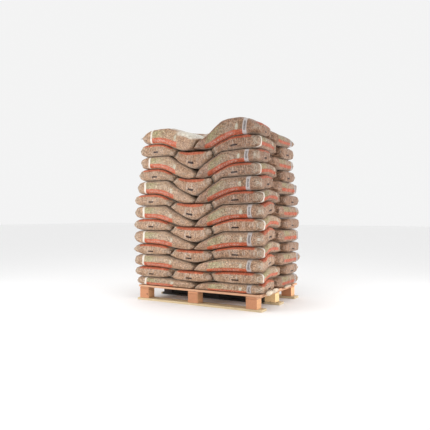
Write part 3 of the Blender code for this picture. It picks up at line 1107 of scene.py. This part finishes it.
def wood_material(name, colour, end_colour, yellow_colour):
    """Sawn softwood. The grain_place attribute runs along, across and through the grain from the pith."""
    m = Sketch(name)
    place = m.attribute("grain_place", "Vector")
    along, across, through = m.split(place)
    tone, shade_paint, yellow = m.split(m.attribute("wood_look", "Vector"))
    fibres = m.noise(m.scaled(place, (5.0, 260.0, 260.0)), 1.0, 3.0, 0.6)
    sway = m.noise(m.scaled(place, (2.2, 9.0, 9.0)), 1.0, 2.0)
    rings_at = m.plus(m.times(m.length_of(across, through), RINGS_PER_METRE), m.times(sway, 3.2))
    ring = m.math("FRACT", rings_at)
    late = m.times(m.ease(ring, 0.45, 0.92), m.fall(ring, 0.93, 1.0))
    facing = m.math("ABSOLUTE", m.split(m.coordinates("Normal"))[1])
    base = m.mix(m.ease(facing, 0.6, 0.9), colour, end_colour)
    base = m.mix(yellow, base, yellow_colour)
    wood = m.mix(m.times(late, 0.55), base, m.product(base, LATE_WOOD_CAST))
    wood = m.product(wood, m.stops(fibres, *FIBRE_CASTS))
    knot_at = m.scaled(place, (5.5, 11.0, 11.0))
    knot = m.add("ShaderNodeTexVoronoi", {"Vector": knot_at, "Scale": 1.0, "Randomness": 1.0}, "Distance")
    wood = m.mix(m.ease(knot, 0.05, 0.14, 0.80, 0.0), wood, KNOT_COLOUR)
    grime = m.noise(place, 11.0, 4.0, 0.6)
    wood = m.mix(m.ease(grime, 0.50, 0.80, 0.0, 0.35), wood, GRIME_COLOUR)
    wood = m.product(wood, m.stops(tone, *PIECE_CASTS))
    # Painted shade: near black where the second part of wood_look is high
    wood = m.mix(m.times(shade_paint, 0.97), wood, SHADE_PAINT_COLOUR)
    saw_marks = m.math("SINE", m.times(m.plus(along, m.times(sway, 0.01)), SAW_MARKS_PER_METRE))
    relief = m.bump(fibres, 0.5, 0.0010)
    relief = m.bump(saw_marks, 0.12, 0.0006, relief)
    rough = m.ease(fibres, 0.3, 0.7, 0.62, 0.86)
    return m.finish(Base_Color=wood, Roughness=rough, Normal=relief, Specular_IOR_Level=0.25)


def sawn_piece(node, material, chance):
    """Replaces a board or block by one with worn arrises and rough faces, within the node's own box."""
    low, high = (np.array(corner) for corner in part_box(node))
    grain = 0 if node.startswith(GRAIN_ALONG_X) else 1
    mesh = sawn_mesh(f"{node}_sawn", low, high, grain, chance, node in SHADE_PAINTED_PIECES, node == YELLOW_BLOCK)
    piece = object_of(mesh, material, smooth=False)
    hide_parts(node)


def sawn_mesh(name, low, high, grain, chance, shade_painted=False, yellow=False):
    """A board or block between two corners, with its grain along one axis."""
    work = bmesh.new()
    cut_block(work, low, high, grain)
    roughen(work, grain, chance)
    mesh = bpy.data.meshes.new(name)
    work.to_mesh(mesh)
    work.free()
    places = np.array([corner.co for corner in mesh.vertices])
    local = places - (low + high) / 2
    order = [0, 1, 2] if grain == 0 else [1, 0, 2]
    along, across = chance.uniform(-PITH_ALONG, PITH_ALONG), chance.uniform(-PITH_ACROSS, PITH_ACROSS)
    pith = (along, across, chance.choice((-1, 1)) * chance.uniform(*PITH_DEPTH))
    set_attribute(mesh, "grain_place", *(local[:, order] + pith).T)
    # Painted shade along the middle row under the deck, from its left-hand end to near its right-hand block
    shade_paint = ramp(places[:, 0], *SHADE_PAINT_STARTS) * fade(places[:, 0], *SHADE_PAINT_ENDS) * float(shade_painted)
    set_attribute(mesh, "wood_look", chance.random(), shade_paint, float(yellow))
    return mesh


def cut_block(work, low, high, grain):
    """A block with worn arrises, its faces cut into cells."""
    size = high - low
    bmesh.ops.create_cube(work, size=1.0)
    for corner in work.verts:
        corner.co = Vector((low + high) / 2 + np.array(corner.co) * size)
    bmesh.ops.bevel(work, geom=list(work.edges), offset=ARRIS, segments=2, profile=0.6, affect="EDGES")
    for axis in range(3):
        spacing = STATION_SPACING if axis == grain else STATION_SPACING * STATION_SHARE_ACROSS
        count = max(2, round(size[axis] / spacing))
        for number in range(1, count):
            at, across = [0.0] * 3, [0.0] * 3
            at[axis] = low[axis] + size[axis] * number / count
            across[axis] = 1.0
            geom = [*work.verts, *work.edges, *work.faces]
            bmesh.ops.bisect_plane(work, geom=geom, plane_co=at, plane_no=across)
    work.normal_update()


def roughen(work, grain, chance):
    """Moves a block's faces in by the saw's roughness, and its arrises by random chips."""
    where = far_place(chance)
    stretch = [ROUGH_STRETCH] * 3
    stretch[grain] = ROUGH_STRETCH_ALONG
    moves = []
    for corner in work.verts:
        at = Vector([place * share for place, share in zip(corner.co, stretch)])
        depth = SAW_ROUGHNESS * (0.5 + 0.5 * noise.noise(at * 3.0 + where))
        if max(abs(part) for part in corner.normal) < ARRIS_NORMAL:
            depth += max(0.0, noise.noise(corner.co * CHIPS_PER_METRE - where) - CHIP_START) * CHIP_DEPTH
        moves.append(-corner.normal * depth)
    for corner, move in zip(work.verts, moves):
        corner.co += move


def lay_dark_planks(settings):
    """Two near-black planks of painted shadow on the middle bottom board, between its blocks."""
    material = wood_material("dark_plank_wood", *[settings.bottom_colour] * 3)
    chance = random.Random(SEEDS["planks"])
    blocks = [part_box(f"block_middle_{column}") for column in ("left", "middle", "right")]
    for number, (near, far) in enumerate(zip(blocks, blocks[1:])):
        low = np.array((near[1][0] + SHADOW_PLANK_GAP, near[0][1] + SHADOW_PLANK_INSET, near[0][2] + SHADOW_PLANK_GAP))
        high = np.array((far[0][0] - SHADOW_PLANK_GAP, near[1][1] - SHADOW_PLANK_INSET, near[0][2] + SHADOW_PLANK_THICKNESS))
        mesh = sawn_mesh(f"dark_plank_{number}", low, high, 0, chance, shade_painted=True)
        piece = object_of(mesh, material, smooth=False)


def crumpled(name, middle, half, seed, material):
    """A wad of crumpled film: a ball folded along sharp random ridges."""
    work = bmesh.new()
    bmesh.ops.create_icosphere(work, subdivisions=5, radius=1.0)
    where = Vector([seed * step for step in WAD_NOISE_STEP])
    for corner in work.verts:
        way = corner.co.normalized()
        stretch = Vector((way.x, way.y * half[1] / half[2], way.z))
        folds = sum(abs(noise.noise(stretch * step + where)) / step for step in WAD_FOLD_STEPS)
        reach = 1.0 - WAD_FOLD_DEPTH * folds
        corner.co = Vector([at + side * size * reach for at, side, size in zip(middle, way, half)])
    mesh = bpy.data.meshes.new(name)
    work.to_mesh(mesh)
    work.free()
    wad = object_of(mesh, material)


def crumpled_film(name, film_colour):
    """Crumpled film, darker off its folds."""
    m = Sketch(name)
    folds = m.noise(m.coordinates(), 70.0, 4.0, 0.65)
    colour = m.mix(m.fold_lines(folds, 0.10, 0.0, 1.0), film_colour, tinted(film_colour, 0.72, 0.94))
    relief = m.bump(folds, 0.8, 0.010)
    return m.finish(Base_Color=colour, Roughness=0.38, Normal=relief, Coat_Weight=0.2, Coat_Roughness=0.15)


def leave_seam_ears(look):
    """The crumpled ears of the crosswise sacks, which stand out at the seams of the front."""
    material = crumpled_film("crumpled_ear_film", look.ear_colour)
    for layer in range(2, LAYER_COUNT, 2):
        scale = sack_scale(layer)
        for side, seam, half, depth, seed in SEAM_EARS:
            x = STACK_SHIFT_X + (seam + FRONT_SEAM_SHIFT[seam]) * scale
            y = depth - HALF_WIDTH * scale
            z = (joint_height(layer - 1, x, y) + joint_height(layer, x, y)) / 2
            crumpled(f"film_ear_{layer:02d}_{side}", (x, y, float(z)), half, layer + seed, material)


def tuck_film_wads(look):
    """Crumpled film that sticks out between the lowest sacks and the right-hand ends of the deck boards."""
    material = crumpled_film("crumpled_film", look.wad_colour)
    for number, (place, half) in enumerate(FILM_WADS, 1):
        crumpled(f"film_wad_{number}", place, half, number + 1, material)


def soft_light(name, place, target, size, power):
    lamp = bpy.data.lights.new(name, "AREA")
    lamp.energy = power
    lamp.size = size
    light = placed(name, lamp)
    light.location = place
    light.rotation_euler = (Vector(target) - light.location).to_track_quat("-Z", "Y").to_euler()


def build_stage(settings):
    """A pale floor, an even sky, three soft lights and the photograph's camera."""
    scene = bpy.context.scene
    mesh = bpy.data.meshes.new("floor")
    mesh.from_pydata(square(settings.floor_size / 2, 0), [], [(0, 1, 2, 3)])
    mesh.materials.append(Sketch("floor_paint").finish(Base_Color=settings.floor_colour, Roughness=0.75))
    placed("floor", mesh)
    world = bpy.data.worlds.new("studio")
    world.use_nodes = True
    sky = world.node_tree.nodes["Background"]
    sky.inputs["Color"].default_value = (1.0, 1.0, 1.0, 1.0)
    sky.inputs["Strength"].default_value = settings.sky_strength
    scene.world = world
    for name, (place, size) in LIGHTS.items():
        soft_light(name, place, STACK_MIDDLE, size, getattr(settings, name + "_power"))
    lens = bpy.data.cameras.new("camera")
    lens.lens = CAMERA_LENS
    lens.sensor_width = 36.0
    camera = placed("camera", lens)
    camera.location = CAMERA_PLACE
    camera.rotation_euler = (math.radians(90), 0, math.radians(CAMERA_TURN))
    scene.camera = camera
    scene.view_settings.view_transform = "Standard"


def number_field(name, description, default, **more):
    return bpy.props.FloatProperty(name=name, description=description, default=default, **more)


def length_field(name, description, default):
    return number_field(name, description, default, unit="LENGTH")


def colour_field(name, things, default):
    return bpy.props.FloatVectorProperty(
        name=name, description=f"Colour of {things}", default=default,
        subtype="COLOR", size=3, min=0.0, max=1.0,
    )


class SackSettings(bpy.types.PropertyGroup):
    pellet_thickness: length_field("Pellet thickness", "Thickness of one wood pellet", 0.0056)
    pellet_length: length_field("Pellet length", "Usual length of a wood pellet", 0.016)
    film_gloss: number_field("Film gloss", "How strongly the clear film shines", 0.11, subtype="FACTOR")
    film_haze: number_field("Film haze", "Share of the veil colour all over the film", 0.02, subtype="FACTOR")
    spot_place: length_field("Spot place", "Distance from the print's start to the spot", 0.285)
    pellet_colour: colour_field("Pellets", "the wood pellets of middle tone", (0.375, 0.220, 0.132))
    veil_colour: colour_field("Film veil", "creased film and of pale print", (0.55, 0.48, 0.41))
    panel_colour: colour_field("Top panel", "the milky panel on top", (0.62, 0.585, 0.50))
    # Painted sheen: the pale reflection on the top left sack's shoulder
    painted_sheen_colour: colour_field("Sheen", "the painted sheen on the top left sack's shoulder", (0.70, 0.68, 0.59))
    wad_colour: colour_field("Crumpled film", "the film wads at the deck's edge", (0.88, 0.74, 0.58))
    ear_colour: colour_field("Ears", "the crumpled ears at the front's seams", (0.46, 0.33, 0.24))
    empty_film_colour: colour_field("Empty film", "the film at the empty corners", (0.47, 0.40, 0.31))
    band_colour: colour_field("Band", "the printed band and the end's block", (0.47, 0.100, 0.042))
    soft_print_colour: colour_field("Soft print", "the pale field over the band", (0.33, 0.335, 0.165))
    spot_colour: colour_field("Spot", "the pale round spot", (0.50, 0.50, 0.40))
    ring_colour: colour_field("Ring", "the ring round the sack", (0.66, 0.61, 0.54))
    label_colour: colour_field("Label", "the ring where it carries the bars", (0.42, 0.385, 0.375))
    mark_colour: colour_field("Mark", "the dark mark and the bars", (0.020, 0.004, 0.001))


class TimberSettings(bpy.types.PropertyGroup):
    deck_colour: colour_field("Deck", "the deck and cross boards", (0.71, 0.42, 0.265))
    block_colour: colour_field("Blocks", "the sides of the blocks", (0.80, 0.46, 0.25))
    block_front_colour: colour_field("Block fronts", "the blocks' fronts and backs", (0.58, 0.275, 0.150))
    yellow_block_colour: colour_field("Yellow block", "the block of yellower wood", (0.95, 0.69, 0.37))
    bottom_colour: colour_field("Bottom boards", "the bottom boards", (0.68, 0.56, 0.36))
    nail_radius: length_field("Nail radius", "Radius of a nail's head", 0.0045)
    nail_height: length_field("Nail height", "How far a nail's head stands out", 0.0006)


class StageSettings(bpy.types.PropertyGroup):
    floor_size: length_field("Floor size", "Side of the square floor", 60.0)
    floor_colour: colour_field("Floor", "the floor", (0.93, 0.93, 0.93))
    sky_strength: number_field("Sky", "Strength of the even light all round", 0.90)
    key_power: number_field("Key light", "Power of the main soft light", 44.0, unit="POWER")
    fill_power: number_field("Fill light", "Power of the soft light on the right", 60.0, unit="POWER")
    top_power: number_field("Top light", "Power of the soft light overhead", 26.0, unit="POWER")


def nail_tree(material):
    """A node tree that sets a slightly tilted nail head on each point."""
    tree = bpy.data.node_groups.new("nail_heads", "GeometryNodeTree")
    sockets = tree.interface
    sockets.new_socket("Places", in_out="INPUT", socket_type="NodeSocketGeometry")
    for name in ("Head Radius", "Head Height", "Tilt"):
        sockets.new_socket(name, in_out="INPUT", socket_type="NodeSocketFloat")
    sockets.new_socket("Nails", in_out="OUTPUT", socket_type="NodeSocketGeometry")
    t = NodeSketch(tree)
    given = tree.nodes.new("NodeGroupInput").outputs
    radius, most = given["Head Radius"], given["Tilt"]
    top = t.times(radius, NAIL_TOP_SHARE)
    cone = {"Vertices": NAIL_SIDES, "Radius Top": top, "Radius Bottom": radius, "Depth": given["Head Height"]}
    tilt_range = {0: t.times(most, -1.0), 1: most, "Seed": 5}
    tilt = t.add("FunctionNodeRandomValue", tilt_range, data_type="FLOAT_VECTOR")
    head = t.add("GeometryNodeMeshCone", cone, "Mesh")
    seats = {"Points": given["Places"], "Instance": head, "Rotation": tilt}
    nails = t.add("GeometryNodeRealizeInstances", {"Geometry": t.add("GeometryNodeInstanceOnPoints", seats)})
    painted = t.add("GeometryNodeSetMaterial", {"Geometry": nails, "Material": material})
    t.put(tree.nodes.new("NodeGroupOutput").inputs[0], painted)
    return tree


def nail_places():
    """Where the nails go through each deck board into each cross board."""
    places = []
    for board in range(1, DECK_BOARD_COUNT + 1):
        low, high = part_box(f"deck_board_{board}")
        for column in ("left", "middle", "right"):
            cross_low, cross_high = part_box(f"cross_board_{column}")
            for fx, fy in NAIL_PATTERN:
                x = cross_low[0] + (min(cross_high[0], high[0]) - cross_low[0]) * fx
                places.append((x, low[1] + (high[1] - low[1]) * fy, high[2]))
    return places


def drive_nails(settings):
    """The nails' heads, made by a node tree on their places."""
    steel = Sketch("nail_steel")
    rust = steel.noise(steel.coordinates(), 400.0)
    shine = steel.stops(rust, (0.35, (0.10, 0.08, 0.07)), (0.65, (0.30, 0.27, 0.25)))
    material = steel.finish(Base_Color=shine, Metallic=0.85, Roughness=0.45)
    seeds = bpy.data.meshes.new("nail_places")
    seeds.from_pydata(nail_places(), [], [])
    holder = placed("nail_places", seeds)
    tree = nail_tree(material)
    modifier = holder.modifiers.new("nails", "NODES")
    modifier.node_group = tree
    values = {"Head Radius": settings.nail_radius, "Head Height": settings.nail_height, "Tilt": NAIL_TILT}
    for item in tree.interface.items_tree:
        if item.name in values:
            modifier[item.identifier] = values[item.name]
    shown = holder.evaluated_get(bpy.context.evaluated_depsgraph_get())
    mesh = bpy.data.meshes.new_from_object(shown)
    mesh.name = "nails"
    holder.modifiers.clear()
    bpy.data.objects.remove(holder)
    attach(placed("nails", mesh), ROOT)


def finish_timber(settings):
    """Sawn pieces in the place of all the pallet's boards and blocks."""
    chance = random.Random(SEEDS["timber"])
    kinds = (
        ("bottom_board", "bottom_wood", settings.bottom_colour, settings.bottom_colour),
        ("block", "block_wood", settings.block_colour, settings.block_front_colour),
        ("cross_board", "deck_wood", settings.deck_colour, settings.block_front_colour),
        ("deck_board", "deck_wood", settings.deck_colour, settings.deck_colour),
    )
    for prefix, slot, side_colour, end_colour in kinds:
        material = wood_material(f"{prefix}_softwood", side_colour, end_colour, settings.yellow_block_colour)
        for node in sorted(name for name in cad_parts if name.startswith(prefix + "_")):
            sawn_piece(node, material, chance)


def lay_layers(layers, seed):
    look = bpy.context.scene.sack_settings
    material = bpy.data.materials.get("printed_film_over_pellets") or film_material(look)
    chance = random.Random(seed)
    for layer in layers:
        for place in places_in(layer):
            pattern, shapes = full_bags(place.kind)
            lay_sack(layer, place, chance.choice(shapes), pattern, chance, material)


class LayLowerSacks(bpy.types.Operator):
    """Blow up the film bags and lay the sixty sacks of layers 1 to 12"""

    bl_idname = "pallet.lay_lower_sacks"
    bl_label = "Lay Lower Sacks"

    def execute(self, context):
        lay_layers(range(1, LAYER_COUNT), SEEDS["lower sacks"])
        return {"FINISHED"}


class LayTopSacks(bpy.types.Operator):
    """Lay the five sacks of the top layer, which nothing presses flat"""

    bl_idname = "pallet.lay_top_sacks"
    bl_label = "Lay Top Sacks"

    def execute(self, context):
        lay_layers([LAYER_COUNT], SEEDS["top sacks"])
        return {"FINISHED"}


class FinishTimber(bpy.types.Operator):
    """Give the boards and blocks worn arrises, rough faces and softwood grain"""

    bl_idname = "pallet.finish_timber"
    bl_label = "Finish Timber"

    def execute(self, context):
        finish_timber(context.scene.timber_settings)
        return {"FINISHED"}


class LayPaintedShadowPlanks(bpy.types.Operator):
    """Lay the near-black planks of painted shadow on the middle bottom board"""

    bl_idname = "pallet.lay_dark_planks"
    bl_label = "Lay Dark Planks"

    def execute(self, context):
        lay_dark_planks(context.scene.timber_settings)
        return {"FINISHED"}


class TuckFilmWads(bpy.types.Operator):
    """Tuck crumpled film between the lowest sacks and the deck's right-hand edge"""

    bl_idname = "pallet.tuck_film_wads"
    bl_label = "Tuck Film Wads"

    def execute(self, context):
        tuck_film_wads(context.scene.sack_settings)
        return {"FINISHED"}


class LeaveSeamEars(bpy.types.Operator):
    """Leave crumpled ears of film standing out at the seams of the front"""

    bl_idname = "pallet.leave_seam_ears"
    bl_label = "Leave Seam Ears"

    def execute(self, context):
        leave_seam_ears(context.scene.sack_settings)
        return {"FINISHED"}


class DriveNails(bpy.types.Operator):
    """Drive the nails through the deck boards into the cross boards"""

    bl_idname = "pallet.drive_nails"
    bl_label = "Drive Nails"

    def execute(self, context):
        drive_nails(context.scene.timber_settings)
        return {"FINISHED"}


class SetStage(bpy.types.Operator):
    """Set the pale floor, the soft lights and the camera"""

    bl_idname = "pallet.set_stage"
    bl_label = "Set Stage"

    def execute(self, context):
        build_stage(context.scene.stage_settings)
        return {"FINISHED"}


class PalletPanel(bpy.types.Panel):
    """Lists the steps that build the pallet of sacks"""

    bl_idname = "VIEW3D_PT_pallet_of_sacks"
    bl_label = "Pallet of Sacks"
    bl_space_type = "VIEW_3D"
    bl_region_type = "UI"
    bl_category = "Pallet"

    def draw(self, context):
        for step in STEPS:
            self.layout.operator(step.bl_idname)
        for group in (getattr(context.scene, name) for name in SETTINGS):
            box = self.layout.box()
            for name in group.bl_rna.properties.keys()[2:]:
                box.prop(group, name)


STEPS = (
    FinishTimber, LayPaintedShadowPlanks, DriveNails, LayLowerSacks, LayTopSacks, LeaveSeamEars, TuckFilmWads, SetStage
)
SETTINGS = {"sack_settings": SackSettings, "timber_settings": TimberSettings, "stage_settings": StageSettings}
CLASSES = (*SETTINGS.values(), *STEPS, PalletPanel)


def register():
    for thing in CLASSES:
        bpy.utils.register_class(thing)
    for name, group in SETTINGS.items():
        setattr(bpy.types.Scene, name, bpy.props.PointerProperty(type=group))


def unregister():
    for name in SETTINGS:
        delattr(bpy.types.Scene, name)
    for thing in reversed(CLASSES):
        bpy.utils.unregister_class(thing)


def main():
    register()
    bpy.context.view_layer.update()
    bpy.ops.pallet.finish_timber()
    bpy.ops.pallet.lay_dark_planks()
    bpy.ops.pallet.drive_nails()
    bpy.ops.pallet.lay_lower_sacks()
    bpy.ops.pallet.lay_top_sacks()
    bpy.ops.pallet.leave_seam_ears()
    bpy.ops.pallet.tuck_film_wads()
    bpy.ops.pallet.set_stage()


if __name__ == "__main__":
    main()
